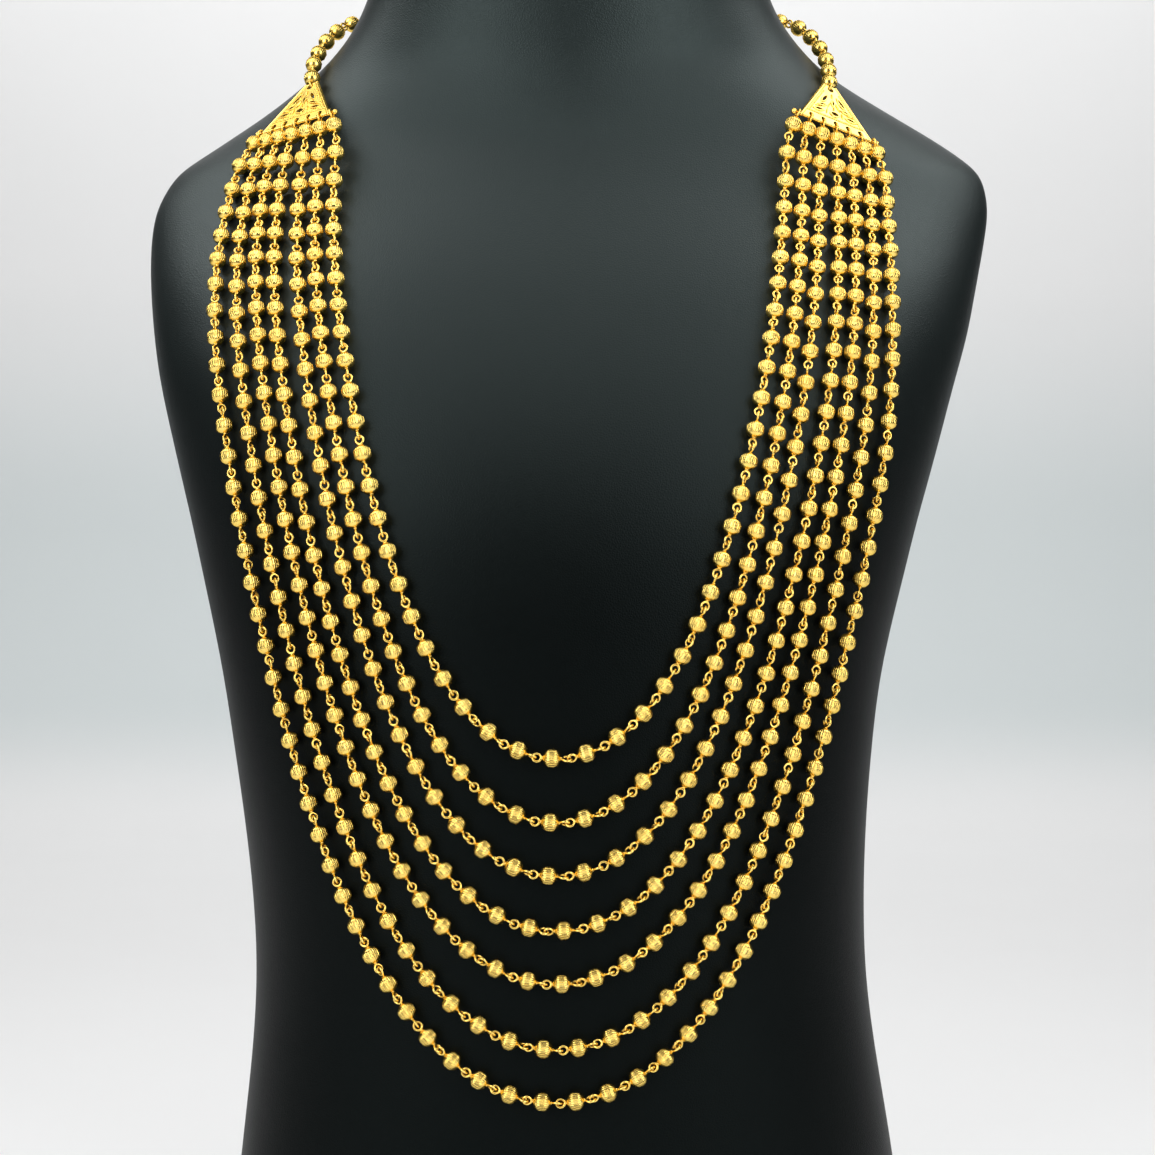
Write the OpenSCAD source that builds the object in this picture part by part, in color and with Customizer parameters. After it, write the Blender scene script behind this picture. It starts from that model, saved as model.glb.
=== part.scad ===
// Seven strand gold ball necklace on a black neck bust.
// The front of the bust faces -y, z is up and the middle of the foot is the origin.

/* [Beads] */
// Diameter of a gold ball
bead_d = 4.9; // [4.6:0.05:4.9]
// Thickness of the wire eyes at both ends of a ball
wire_d = 0.6; // [0.5:0.05:0.65]
// Outer width of a wire eye
eye_d = 2.9; // [2.8:0.05:3]
// Distance from the middle of a ball to the middle of its eye
eye_reach = 4.3; // [4.25:0.05:4.35]
// Space between a ball and the surface that it lies on
bead_clear = 0.15; // [0.1:0.05:0.3]

/* [End plates] */
// Length of the wire of a plate from which the strands hang
plate_base = 31; // [31:0.2:32]
// Distance between the feet of the two side wires
plate_feet = 25.8; // [25.4:0.1:26]
// Height of a plate from the lower wire to the top one
plate_high = 16.8; // [16.4:0.1:17.2]
// Thickness of the pierced sheet
plate_thick = 0.9; // [0.7:0.1:0.9]
// Thickness of the two side wires
rail_d = 1.3; // [1.25:0.05:1.35]
// Thickness of the lower and the top wire, around which the eyes of the balls go
hang_wire = 1; // [0.95:0.05:1.05]
// Distance between two neighbouring strands on the lower wire
hang_space = 4.7; // [4.65:0.05:4.75]
// Thickness of the wire of the loops at the clasp
loop_wire = 0.7; // [0.6:0.05:0.75]

/* [Back strings and clasp] */
// Distance between two balls of a back string
string_pitch = 9.6; // [9.55:0.05:9.7]
// Height of the clasp
nape_z = 413; // [411:0.5:415]
// How far the clasp lies behind the middle of the foot
nape_y = 77.6; // [77.2:0.2:79]
// How far the clasp lies beside the middle
nape_x = 2.4; // [1.8:0.2:3]
// Length of the barrel of the clasp
clasp_len = 16; // [15:1:18]
// Diameter of the barrel
clasp_d = 5.4; // [4.5:0.1:5.6]

/* [Neck bust] */
// Rounding of the edges at the foot and the top of the neck
edge_round = 6; // [4:1:8]
// Number of sides of a cross section
bust_sides = 48; // [40:4:56]
// Largest height between two cross sections
level_step = 11; // [10:1:14]

/* [Hidden] */

gold = "gold";
LEFT = -1;
RIGHT = 1;

// Cross sections of the bust. Columns: height, half width, shift sideways, y of the widest line,
// depth before that line, depth behind it, squareness of the front.
HEIGHT = 0;
WIDTH = 1;
SHIFT = 2;
MIDDLE = 3;
FRONT = 4;
BACK = 5;
SQUARE = 6;
sections = [
    [0, 107, -1, 8.5, 78, 58, 2.3],
    [45, 101, -1, 8.5, 79, 58, 2.3],
    [110, 94, -3, 8.5, 81, 58, 2.3],
    [185, 100, -5.5, 8.5, 84, 60, 2.3],
    [235, 110.5, -5, 9, 84, 62, 2.3],
    [260, 117, -4.5, 10, 80, 62, 2.3],
    [285, 123.5, -4, 12.5, 73.5, 61, 2.3],
    [300, 127, -3, 14.5, 68, 59, 2.2],
    [315, 129.5, -2.2, 17, 62, 56, 2.05],
    [330, 131.5, -0.85, 20.5, 56, 52, 1.82],
    [342, 131.5, 0.85, 23, 51, 49, 1.65],
    [351, 128.5, 2.5, 25, 48, 46, 1.6],
    [360, 117, 3.5, 27, 46, 43, 1.62],
    [372, 98.5, 2.5, 28.5, 45, 41, 1.66],
    [383, 83, 0.5, 29.5, 45, 41, 1.7],
    [393, 73, 0, 30, 46, 42, 1.85],
    [405, 65.5, -0.5, 30.5, 47.5, 43, 2],
    [422, 60.5, -0.5, 30.5, 49, 43, 2.1],
    [440, 58.5, -0.5, 30.5, 50, 43, 2.1]
];
back_square = 2.6;
neck_y = sections[len(sections) - 1][MIDDLE];
bust_h = sections[len(sections) - 1][HEIGHT];

// The seven strands from the inner to the outer one. Columns: height of the lowest ball,
// radius of the curve there, distance between two balls, how late the left half and
// the right half are drawn in towards their plates.
LOW = 0;
CURVE = 1;
PITCH = 2;
LATE_LEFT = 3;
LATE_RIGHT = 4;
strands = [
    [174, 25.6, 9.9, 3.8, 2.8],
    [156, 27.5, 9.8, 3.8, 2.6],
    [141, 29.5, 10.05, 3.8, 2.4],
    [125.5, 32.4, 9.75, 3.7, 2.1],
    [110.5, 34.5, 9.7, 3.6, 1.9],
    [92, 36.6, 9.8, 3.3, 1.6],
    [77, 39.6, 9.5, 3, 1.3]
];
// Middle line of the hanging strands
strand_x = -3.8;
// Above this height the strands are drawn together towards the plates
gather_z = 262;
// Height over which the topmost balls come down from the plate to the bust
settle = 45;
// Distance between two neighbouring strands right below the plate, where they have fanned out
fan_space = 5.8;
// Length over which they fan out
fan_reach = 9;
// Distance from the middle of a plate's wire to the middle of an eye around it
wire_hold = 0.1;
// Steps along half a strand when its length is measured
route_steps = 160;
// Strands from this one on are made as plain tubes of their balls' width
first_tube = 5;
tube_d = bead_d - 0.4;
tube_ring = 10.5;
tube_sides = 8;

// Where the middle of each plate's long side lies and how the plate is turned
plate_left_at = [-84.2, -2, 364];
plate_left_turn = [54, -8, -34];
plate_right_at = [80.9, -8, 361.8];
plate_right_turn = [58, 14.5, 28];

bead_fn = 40;
wire_fn = 24;
ring_fn = 32;
round_fn = 32;

eye_r = (eye_d - wire_d) / 2;
neck_wire = 0.9;
loop_r = (eye_d - wire_d) / 2;
end_ball_d = 1.8;
foot_ball_d = 1.4;

// Places on the bust

function knot(z, i = 0) = i >= len(sections) - 2 || z < sections[i + 1][HEIGHT] ? i : knot(z, i + 1);

function slope(i, c) =
    let (a = max(i - 1, 0), b = min(i + 1, len(sections) - 1))
    (sections[b][c] - sections[a][c]) / (sections[b][HEIGHT] - sections[a][HEIGHT]);

// A smooth curve through one column of the table of cross sections
function profile(z, c) =
    let (
        i = knot(z),
        a = sections[i],
        b = sections[i + 1],
        h = b[HEIGHT] - a[HEIGHT],
        t = min(max((z - a[HEIGHT]) / h, 0), 1)
    )
    a[c] * (1 + 2 * t) * (1 - t) ^ 2 + slope(i, c) * h * t * (1 - t) ^ 2
    + b[c] * t * t * (3 - 2 * t) + slope(i + 1, c) * h * t * t * (t - 1);

function front_y(x, z) =
    let (
        u = min(abs((x - profile(z, SHIFT)) / profile(z, WIDTH)), 0.995),
        n = profile(z, SQUARE)
    )
    profile(z, MIDDLE) - profile(z, FRONT) * (1 - u ^ n) ^ (1 / n);

// Where the middle of something round lies that touches the front at x, z
function over_y(x, z, r) =
    let (
        e = 0.5,
        gx = (front_y(x + e, z) - front_y(x - e, z)) / (2 * e),
        gz = (front_y(x, z + e) - front_y(x, z - e)) / (2 * e)
    )
    front_y(x, z) - r * sqrt(1 + gx * gx + gz * gz);

// Direction that points out of the bust at x, z
function out_of_bust(x, z) =
    let (
        e = 0.5,
        gx = (front_y(x + e, z) - front_y(x - e, z)) / (2 * e),
        gz = (front_y(x, z + e) - front_y(x, z - e)) / (2 * e)
    )
    unit([gx, -1, gz]);

// Small helpers

function unit(v) = v / norm(v);

function arc_cosh(v) = ln(v + sqrt(v * v - 1));

function cosh(t) = (exp(t) + exp(-t)) / 2;

function turned(v, r) =
    let (
        a = [v.x, v.y * cos(r.x) - v.z * sin(r.x), v.y * sin(r.x) + v.z * cos(r.x)],
        b = [a.x * cos(r.y) + a.z * sin(r.y), a.y, -a.x * sin(r.y) + a.z * cos(r.y)]
    )
    [b.x * cos(r.z) - b.y * sin(r.z), b.x * sin(r.z) + b.y * cos(r.z), b.z];

function next_length(p, i) = i < len(p) - 1 ? norm(p[i + 1] - p[i]) : 0;

// Length along a route up to each of its points
function lengths(p) = [for (i = 0, s = 0; i < len(p); s = s + next_length(p, i), i = i + 1) s];

function along(p, s, at) = [for (c = [0:2]) lookup(at, [for (i = [0:len(p) - 1]) [s[i], p[i][c]]])];

// A number from 0 to 1 that jumps about from one ball to the next
function scatter(i) = i * 0.618 - floor(i * 0.618);

// Routes of the strands and strings

function plate_at(side) = side == LEFT ? plate_left_at : plate_right_at;

function plate_turn(side) = side == LEFT ? plate_left_turn : plate_right_turn;

function on_plate(side, p) = plate_at(side) + turned(p, plate_turn(side));

function hang_at(side, k, space) = on_plate(side, [side * (k - 4) * space, 0, 0]);

function tip_at(side) = on_plate(side, [0, plate_high, 0]);

function plate_normal(side) = turned([0, 0, 1], plate_turn(side));

// Half a strand from its lowest point to the plate
function half_strand(k, side) =
    let (
        p = wide_half(k, side),
        top = p[route_steps],
        shift = hang_at(side, k, hang_space) - top
    )
    [for (q = p) q + shift * max(0, 1 - (top.z - q.z) / fan_reach)];

// The same without the last stretch, which is gathered at the plate: a catenary drawn together above
function wide_half(k, side) =
    let (
        row = strands[k - 1],
        top = hang_at(side, k, fan_space),
        r = bead_d / 2 + bead_clear,
        late = side == LEFT ? row[LATE_LEFT] : row[LATE_RIGHT],
        last = arc_cosh(1 + (top.z - row[LOW]) / row[CURVE]),
        pull = row[CURVE] * last - abs(top.x - strand_x),
        lift = max(over_y(top.x, top.z, r) - top.y, 0)
    )
    [for (i = [0:route_steps])
        let (
            t = last * i / route_steps,
            z = row[LOW] + row[CURVE] * (cosh(t) - 1),
            drawn = max(0, (z - gather_z) / (top.z - gather_z)) ^ late,
            x = strand_x + side * (row[CURVE] * t - pull * drawn),
            rest = max(0, 1 - (top.z - z) / settle)
        )
        [x, over_y(x, z, r) - lift * rest * rest, z]];

function strand_route(k) =
    let (a = half_strand(k, LEFT), b = half_strand(k, RIGHT))
    concat([for (i = [route_steps:-1:1]) a[i]], b);

// Where a back string passes on its way round the neck. Columns: distance sideways, y, height.
string_stops = [
    [80.8, 15.8, 384.2],
    [80.2, 25.5, 390.2],
    [78.3, 34, 395.9],
    [75.5, 42.5, 400.9],
    [70.8, 50.6, 405.2],
    [59.8, 60.6, 409],
    [42.8, 70.2, 411.4],
    [23.5, 75.9, 412.6]
];
stop_steps = 12;
clasp_reach = clasp_len / 2 + loop_r;

function clasp_loop(side) = [nape_x + side * clasp_reach, nape_y, nape_z];

// A back string from the tip of its plate to the clasp
function back_route(side) =
    let (
        stops = concat(
            [tip_at(side)],
            [for (p = string_stops) [side * p.x, p.y, p.z]],
            [clasp_loop(side)]
        ),
        last = len(stops) - 1
    )
    concat(
        [for (i = [0:last - 1], j = [0:stop_steps - 1])
            bend(stops[max(i - 1, 0)], stops[i], stops[i + 1], stops[min(i + 2, last)], j / stop_steps)],
        [stops[last]]
    );

// Point at share t of the curve from b to c, with a before it and d after it
function bend(a, b, c, d, t) =
    b * (1 + 2 * t) * (1 - t) ^ 2 + (c - a) / 2 * t * (1 - t) ^ 2
    + c * t * t * (3 - 2 * t) + (d - b) / 2 * t * t * (t - 1);

// Middle of an eye that runs through a loop or round a wire at a place with the given normal,
// on a ball that points to a far point
function held_eye(place, normal, far, gap) =
    let (v = far - place)
    place + unit(v - normal * (v * normal)) * gap;

// Length along a route from a loop to the far eye of the ball that hangs in the loop
function far_reach(route, s, normal, gap) =
    let (
        near = gap + 2 * eye_reach,
        p = along(route, s, near)
    )
    near + 2 * eye_reach - norm(p - held_eye(route[0], normal, p, gap));

// The ball that hangs there: [place, direction away from the loop or wire]
function held_ball(place, normal, far, gap) =
    let (
        eye = held_eye(place, normal, far, gap),
        d = unit(far - eye)
    )
    [eye + d * eye_reach, d];

// Direction across a route in which an eye lies, turned about the route from the outward one
function eye_across(route, s, at, outs, turn) =
    let (
        p = along(route, s, at),
        d = unit(along(route, s, at + 1) - along(route, s, at - 1)),
        o = outs == "neck" ? unit([p.x, p.y - neck_y, 0]) : out_of_bust(p.x, p.z),
        u = unit(o - d * (o * d))
    )
    u * cos(turn) + cross(d, u) * sin(turn);

// Turn of the eye that a ball holds into joint number j. The next ball's eye is square to it.
function joint_turn(j) = 75 * scatter(j) - 35;

// Balls on a route that begins and ends in the middle of a loop or a wire, from which
// the first and the last eye are held at the given distances.
// Each is [place, direction, direction across of the first eye, the same of the last eye].
function balls(route, pitch, holds, outs, normals) =
    let (
        s = lengths(route),
        total = s[len(s) - 1],
        back = [for (i = [len(route) - 1:-1:0]) route[i]],
        back_s = lengths(back),
        head_far = far_reach(route, s, normals[0], holds[0]),
        tail_far = far_reach(back, back_s, normals[1], holds[1]),
        head = held_ball(route[0], normals[0], along(route, s, head_far), holds[0]),
        tail = held_ball(back[0], normals[1], along(back, back_s, tail_far), holds[1]),
        first = head_far - eye_reach,
        span = total - tail_far + eye_reach - first,
        last = round(span / pitch),
        step = span / last
    )
    [for (i = [0:last])
        let (
            at = first + step * i,
            chord = unit(along(route, s, at + eye_reach) - along(route, s, at - eye_reach)),
            before = i == 0 ? normals[0] : eye_across(route, s, at - step / 2, outs, joint_turn(i) + 90),
            after = i == last ? normals[1] : eye_across(route, s, at + step / 2, outs, joint_turn(i + 1))
        )
        i == 0 ? [head[0], head[1], before, after]
        : i == last ? [tail[0], -tail[1], before, after]
        : [along(route, s, at), chord, before, after]];

// Sub-parts

module along_axes(x, y, z, at) {
    multmatrix([
        [x.x, y.x, z.x, at.x],
        [x.y, y.y, z.y, at.y],
        [x.z, y.z, z.z, at.z],
        [0, 0, 0, 1]
    ])
        children();
}

// A ring that lies in the xy plane
module ring(r, wire) {
    rotate_extrude($fn = ring_fn)
        translate([r, 0])
            circle(d = wire, $fn = wire_fn);
}

// A ball with its two wire eyes, which runs along x. The last eye is turned about x.
module ball(turn) {
    union() {
        sphere(d = bead_d, $fn = bead_fn);
        rotate([0, 90, 0])
            cylinder(d = neck_wire, h = 2 * (eye_reach - eye_r), center = true, $fn = wire_fn);
        translate([-eye_reach, 0, 0])
            rotate([90, 0, 0])
                ring(eye_r, wire_d);
        translate([eye_reach, 0, 0])
            rotate([turn, 0, 0])
                ring(eye_r, wire_d);
    }
}

module ball_string(route, pitch, holds, outs, normals) {
    color(gold)
        union()
            for (b = balls(route, pitch, holds, outs, normals)) {
                z = unit(b[2] - b[1] * (b[2] * b[1]));
                y = cross(z, b[1]);
                along_axes(b[1], y, z, b[0])
                    ball(atan2(b[3] * z, b[3] * y));
            }
}

// A plain tube along a route, from the first ball to the last one
module strand_tube(route) {
    s = lengths(route);
    total = s[len(s) - 1];
    inset = wire_hold + eye_reach - bead_d / 2;
    rings = ceil((total - 2 * inset) / tube_ring);
    at = [for (i = [0:rings]) along(route, s, inset + (total - 2 * inset) * i / rings)];
    points = [for (i = [0:rings])
        let (
            d = unit(at[min(i + 1, rings)] - at[max(i - 1, 0)]),
            o = out_of_bust(at[i].x, at[i].z),
            u = unit(o - d * (o * d)),
            v = cross(d, u)
        )
        for (j = [0:tube_sides - 1])
            let (a = 360 * (j + 0.5) / tube_sides)
            at[i] + (u * cos(a) + v * sin(a)) * tube_d / 2];
    color(gold)
        polyhedron(points, loft_faces(rings + 1, tube_sides));
}

// Triangles that join equal rows of points and close the first and the last one
function loft_faces(rows, sides) = concat(
    [for (i = [0:rows - 2], j = [0:sides - 1])
        let (n = (j + 1) % sides)
        each [
            [i * sides + j, (i + 1) * sides + j, (i + 1) * sides + n],
            [i * sides + j, (i + 1) * sides + n, i * sides + n]
        ]],
    [[for (j = [0:sides - 1]) j]],
    [[for (j = [sides - 1:-1:0]) (rows - 1) * sides + j]]
);

// How far a rounded edge at the foot or the top draws a cross section in
function drawn_in(z) =
    let (d = min(z, bust_h - z))
    d >= edge_round ? 0 : edge_round - sqrt(edge_round ^ 2 - (edge_round - d) ^ 2);

function section_point(z, a) =
    let (
        s = sin(a),
        n = s < 0 ? profile(z, SQUARE) : back_square,
        w = profile(z, WIDTH) - drawn_in(z),
        d = (s < 0 ? profile(z, FRONT) : profile(z, BACK)) - drawn_in(z)
    )
    [
        profile(z, SHIFT) + sign(cos(a)) * w * abs(cos(a)) ^ (2 / n),
        profile(z, MIDDLE) + sign(s) * d * abs(s) ^ (2 / n),
        z
    ];

edge_levels = [0, 0.1, 0.35, 1];
// From this height on the cross sections lie twice as close
shoulder_z = 351;
bust_levels = concat(
    [for (e = edge_levels) e * edge_round],
    [for (i = [0:len(sections) - 2])
        let (
            a = sections[i][HEIGHT],
            b = sections[i + 1][HEIGHT],
            n = ceil((b - a) / (a < shoulder_z ? level_step : level_step / 2))
        )
        for (j = [0:n - 1])
            let (z = a + (b - a) * j / n)
            if (z > edge_round + 1 && z < bust_h - edge_round - 1) z],
    [for (i = [len(edge_levels) - 1:-1:0]) bust_h - edge_levels[i] * edge_round]
);

module neck_bust() {
    points = [for (z = bust_levels, j = [0:bust_sides - 1]) section_point(z, 360 * j / bust_sides)];
    color([0.06, 0.06, 0.07])
        polyhedron(points, loft_faces(len(bust_levels), bust_sides));
}

// A leaf shape along y between two arcs, each of which is drawn as a few lines
module leaf(length, width) {
    r = (length ^ 2 / width + width) / 4;
    half = asin(length / 2 / r);
    inset = r - width / 2;
    polygon([for (side = [RIGHT, LEFT], i = [0:leaf_steps - 1])
        let (a = side * half * (2 * i / leaf_steps - 1))
        [side * (r * cos(a) - inset), r * sin(a)]]);
}

// Leaf shaped gaps of a plate. Those beside the middle lie on both sides of it. Columns:
// distance beside the middle, height, how far the leaf leans in towards it, length, width.
BESIDE = 0;
UP = 1;
LEAN = 2;
LONG = 3;
WIDE = 4;
slots = [
    [0, 5, 90, 3, 1.7],
    [0, 9.6, 0, 2.6, 0.8],
    [6, 4.9, 84, 3.6, 1],
    [4.3, 7.5, 78, 3, 0.7],
    [3.1, 10.5, 36, 4.2, 1.1]
];
leaf_steps = 5;
slot_rim = 0.32;
rim_rise = 0.3;
// Round holes beside the lower and the top wire, through which the eyes pass
hole_in = 1.2;
hole_d = 1.8;
hole_space = 4.56;
top_hole_d = 2.2;
// Wire above the holes of the lower wire
inner_y = 3;
inner_rise = 0.15;
inner_d = plate_thick + 2 * inner_rise;
// Half the length of the top wire
top_half = 2.2;
foot_half = plate_feet / 2;
inner_half = foot_half - (foot_half - top_half) * inner_y / plate_high;

// Leaves as wide and long as the gaps with a rim of the given width round them
module leaves(rim) {
    for (s = slots, side = s[BESIDE] == 0 ? [RIGHT] : [LEFT, RIGHT])
        translate([side * s[BESIDE], s[UP]])
            rotate([0, 0, side * s[LEAN]])
                leaf(s[LONG] + 2 * rim, s[WIDE] + 2 * rim);
}

module plate_sheet() {
    corners = [
        [-foot_half, 0],
        [foot_half, 0],
        [top_half, plate_high],
        [-top_half, plate_high]
    ];
    difference() {
        union() {
            translate([0, 0, -plate_thick / 2])
                linear_extrude(plate_thick)
                    polygon(corners);
            linear_extrude(plate_thick / 2 + rim_rise)
                leaves(slot_rim);
        }
        translate([0, 0, -plate_thick])
            linear_extrude(2 * plate_thick + rim_rise)
                leaves(0);
        for (i = [-2:2])
            translate([i * hole_space, hole_in])
                cylinder(d = hole_d, h = 2 * plate_thick, center = true, $fn = wire_fn);
        translate([0, plate_high - hole_in])
            cylinder(d = top_hole_d, h = 2 * plate_thick, center = true, $fn = wire_fn);
    }
}

// A straight wire with a ball at each end
module rail(a, b, wire, end_d) {
    d = b - a;
    for (end = [a, b])
        translate(end)
            sphere(d = end_d, $fn = round_fn);
    translate(a)
        rotate([0, 0, atan2(d.y, d.x)])
            rotate([0, 90, 0])
                cylinder(d = wire, h = norm(d), $fn = round_fn);
}

module end_plate() {
    color(gold)
        union() {
            plate_sheet();
            rail([-plate_base / 2, 0, 0], [plate_base / 2, 0, 0], hang_wire, end_ball_d);
            for (side = [LEFT, RIGHT])
                rail([side * foot_half, 0, 0], [side * top_half, plate_high, 0], rail_d, foot_ball_d);
            translate([0, plate_high, 0])
                rotate([0, 90, 0])
                    cylinder(d = hang_wire, h = 2 * top_half, center = true, $fn = round_fn);
            translate([0, inner_y])
                rotate([0, 90, 0])
                    cylinder(d = inner_d, h = 2 * inner_half, center = true, $fn = wire_fn);
        }
}

module end_plate_left() {
    translate(plate_left_at)
        rotate(plate_left_turn)
            end_plate();
}

module end_plate_right() {
    translate(plate_right_at)
        rotate(plate_right_turn)
            end_plate();
}

module strand(k) {
    route = strand_route(k);
    pitch = strands[k - 1][PITCH];
    holds = [wire_hold, wire_hold];
    if (k < first_tube) ball_string(route, pitch, holds, "bust", [plate_normal(LEFT), plate_normal(RIGHT)]);
    else strand_tube(route);
}

module back_string(side) {
    holds = [wire_hold, string_pitch - 2 * eye_reach];
    ball_string(back_route(side), string_pitch, holds, "neck", [plate_normal(side), [0, 0, 1]]);
}

// A closed barrel clasp with a ring at each end
module clasp() {
    color(gold)
        translate([nape_x, nape_y, nape_z])
            union() {
                rotate([0, 90, 0])
                    cylinder(d = clasp_d, h = clasp_len, center = true, $fn = round_fn);
                for (side = [LEFT, RIGHT])
                    translate([side * clasp_reach, 0, 0])
                        ring(loop_r, loop_wire);
            }
}

neck_bust();
end_plate_left();
end_plate_right();
strand(1);  // strand_1
strand(2);  // strand_2
strand(3);  // strand_3
strand(4);  // strand_4
strand(5);  // strand_5
strand(6);  // strand_6
strand(7);  // strand_7
back_string(LEFT);  // back_string_left
back_string(RIGHT);  // back_string_right
clasp();
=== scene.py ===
import bisect
import math
import random

import bpy
from mathutils import Euler, Matrix, Vector


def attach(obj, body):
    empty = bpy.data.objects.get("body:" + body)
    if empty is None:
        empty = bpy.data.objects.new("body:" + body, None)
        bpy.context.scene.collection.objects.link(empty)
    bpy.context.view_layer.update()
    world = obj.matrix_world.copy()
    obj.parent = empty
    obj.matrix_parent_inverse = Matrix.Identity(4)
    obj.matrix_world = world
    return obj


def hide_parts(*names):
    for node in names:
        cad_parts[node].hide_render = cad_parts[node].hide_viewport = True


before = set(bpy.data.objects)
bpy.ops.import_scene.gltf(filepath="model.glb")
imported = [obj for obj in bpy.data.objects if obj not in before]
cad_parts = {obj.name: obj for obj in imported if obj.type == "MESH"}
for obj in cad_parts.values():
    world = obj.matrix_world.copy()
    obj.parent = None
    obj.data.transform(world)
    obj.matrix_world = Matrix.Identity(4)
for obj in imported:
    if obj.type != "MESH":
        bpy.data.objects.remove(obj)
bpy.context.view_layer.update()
random.seed(7)
mm = 0.001
left, right = -1, 1

# The camera stands level in front of the bust; its place is in millimetres
cameraSettings = {"x": 2.2, "y": -849.5, "z": 224.6, "tilt": 90, "lens": 86.0, "sensor": 36}

cameraData = bpy.data.cameras.new("photoCamera")
cameraData.lens = cameraSettings["lens"]
cameraData.sensor_width = cameraSettings["sensor"]
photoCamera = bpy.data.objects.new("photoCamera", cameraData)
bpy.context.collection.objects.link(photoCamera)
photoCamera.location = [cameraSettings[axis] * mm for axis in "xyz"]
photoCamera.rotation_euler = (math.radians(cameraSettings["tilt"]), 0, 0)
bpy.context.scene.camera = photoCamera
print("camera set")


# Small helpers for modelling

def pickOnly(*objects):
    bpy.ops.object.select_all(action="DESELECT")
    for one in objects:
        one.select_set(True)
    bpy.context.view_layer.objects.active = objects[0]


def everywhere(co):
    return True


def selectVertices(piece, wanted):
    # ends in edit mode, with just these vertices selected
    bpy.ops.object.mode_set(mode="EDIT")
    bpy.ops.mesh.select_mode(type="VERT")
    bpy.ops.mesh.select_all(action="DESELECT")
    bpy.ops.object.mode_set(mode="OBJECT")
    for vertex in piece.data.vertices:
        vertex.select = wanted(vertex.co)
    bpy.ops.object.mode_set(mode="EDIT")


def resizeWhere(piece, wanted, value):
    # the wanted vertices move away from the origin or towards it
    selectVertices(piece, wanted)
    bpy.ops.transform.resize(value=value, center_override=(0, 0, 0))
    bpy.ops.object.mode_set(mode="OBJECT")


def smooth(piece, angle=None):
    # all over, or only where the faces meet at less than the angle in degrees
    pickOnly(piece)
    if angle is None:
        bpy.ops.object.shade_smooth()
    else:
        bpy.ops.object.shade_smooth_by_angle(angle=math.radians(angle))


def applyPlace(piece):
    pickOnly(piece)
    bpy.ops.object.transform_apply(location=True, rotation=True, scale=True)


def joined(name, parts):
    bpy.context.view_layer.update()
    pickOnly(*parts)
    bpy.ops.object.join()
    piece = bpy.context.view_layer.objects.active
    piece.name = name
    piece.data.name = name
    applyPlace(piece)
    return piece


def copyAt(source, place):
    twin = source.copy()
    twin.data = source.data.copy()
    bpy.context.collection.objects.link(twin)
    twin.matrix_world = place
    return twin


def paint(piece, material):
    piece.data.materials.clear()
    piece.data.materials.append(material)


def addRing(radius, wire, sides, wireSides):
    # a ring of round wire that lies flat, in millimetres
    bpy.ops.mesh.primitive_torus_add(major_segments=sides, minor_segments=wireSides, major_radius=radius * mm,
                                     minor_radius=wire / 2 * mm, location=(0, 0, 0))
    return bpy.context.object


def eased(start, stop, startSlope, stopSlope, t):
    # a smooth way from start to stop that leaves and arrives with these slopes
    return (start * (1 + 2 * t) * (1 - t) ** 2 + startSlope * t * (1 - t) ** 2
            + stop * t * t * (3 - 2 * t) + stopSlope * t * t * (t - 1))


# Where the strands and strings run, in millimetres, as in the solids

bustSettings = {
    # height, half width, shift sideways, y of the widest line, depth before it, depth behind it, squareness
    "sections": [
        (0, 107, -1, 8.5, 78, 58, 2.3),
        (45, 101, -1, 8.5, 79, 58, 2.3),
        (110, 94, -3, 8.5, 81, 58, 2.3),
        (185, 100, -5.5, 8.5, 84, 60, 2.3),
        (235, 110.5, -5, 9, 84, 62, 2.3),
        (260, 117, -4.5, 10, 80, 62, 2.3),
        (285, 123.5, -4, 12.5, 73.5, 61, 2.3),
        (300, 127, -3, 14.5, 68, 59, 2.2),
        (315, 129.5, -2.2, 17, 62, 56, 2.05),
        (330, 131.5, -0.85, 20.5, 56, 52, 1.82),
        (342, 131.5, 0.85, 23, 51, 49, 1.65),
        (351, 128.5, 2.5, 25, 48, 46, 1.6),
        (360, 117, 3.5, 27, 46, 43, 1.62),
        (372, 98.5, 2.5, 28.5, 45, 41, 1.66),
        (383, 83, 0.5, 29.5, 45, 41, 1.7),
        (393, 73, 0, 30, 46, 42, 1.85),
        (405, 65.5, -0.5, 30.5, 47.5, 43, 2),
        (422, 60.5, -0.5, 30.5, 49, 43, 2.1),
        (440, 58.5, -0.5, 30.5, 50, 43, 2.1),
    ],
    "neckY": 30.5,
    # the front is followed out to this share of the half width, and its slope is taken over this reach
    "sideLimit": 0.995, "slopeReach": 0.5,
}
sections = bustSettings["sections"]
heightColumn, widthColumn, shiftColumn, middleColumn, frontColumn, squareColumn = 0, 1, 2, 3, 4, 6


def sectionSlope(i, column):
    low, high = sections[max(i - 1, 0)], sections[min(i + 1, len(sections) - 1)]
    return (high[column] - low[column]) / (high[heightColumn] - low[heightColumn])


def profile(z, column):
    i = 0
    while i < len(sections) - 2 and z >= sections[i + 1][heightColumn]:
        i += 1
    low, high = sections[i], sections[i + 1]
    h = high[heightColumn] - low[heightColumn]
    t = min(max((z - low[heightColumn]) / h, 0), 1)
    return eased(low[column], high[column], sectionSlope(i, column) * h, sectionSlope(i + 1, column) * h, t)


def frontY(x, z):
    u = min(abs((x - profile(z, shiftColumn)) / profile(z, widthColumn)), bustSettings["sideLimit"])
    n = profile(z, squareColumn)
    return profile(z, middleColumn) - profile(z, frontColumn) * (1 - u ** n) ** (1 / n)


def frontSlopes(x, z):
    reach = bustSettings["slopeReach"]
    return frontY(x + reach, z) - frontY(x - reach, z), frontY(x, z + reach) - frontY(x, z - reach)


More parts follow.
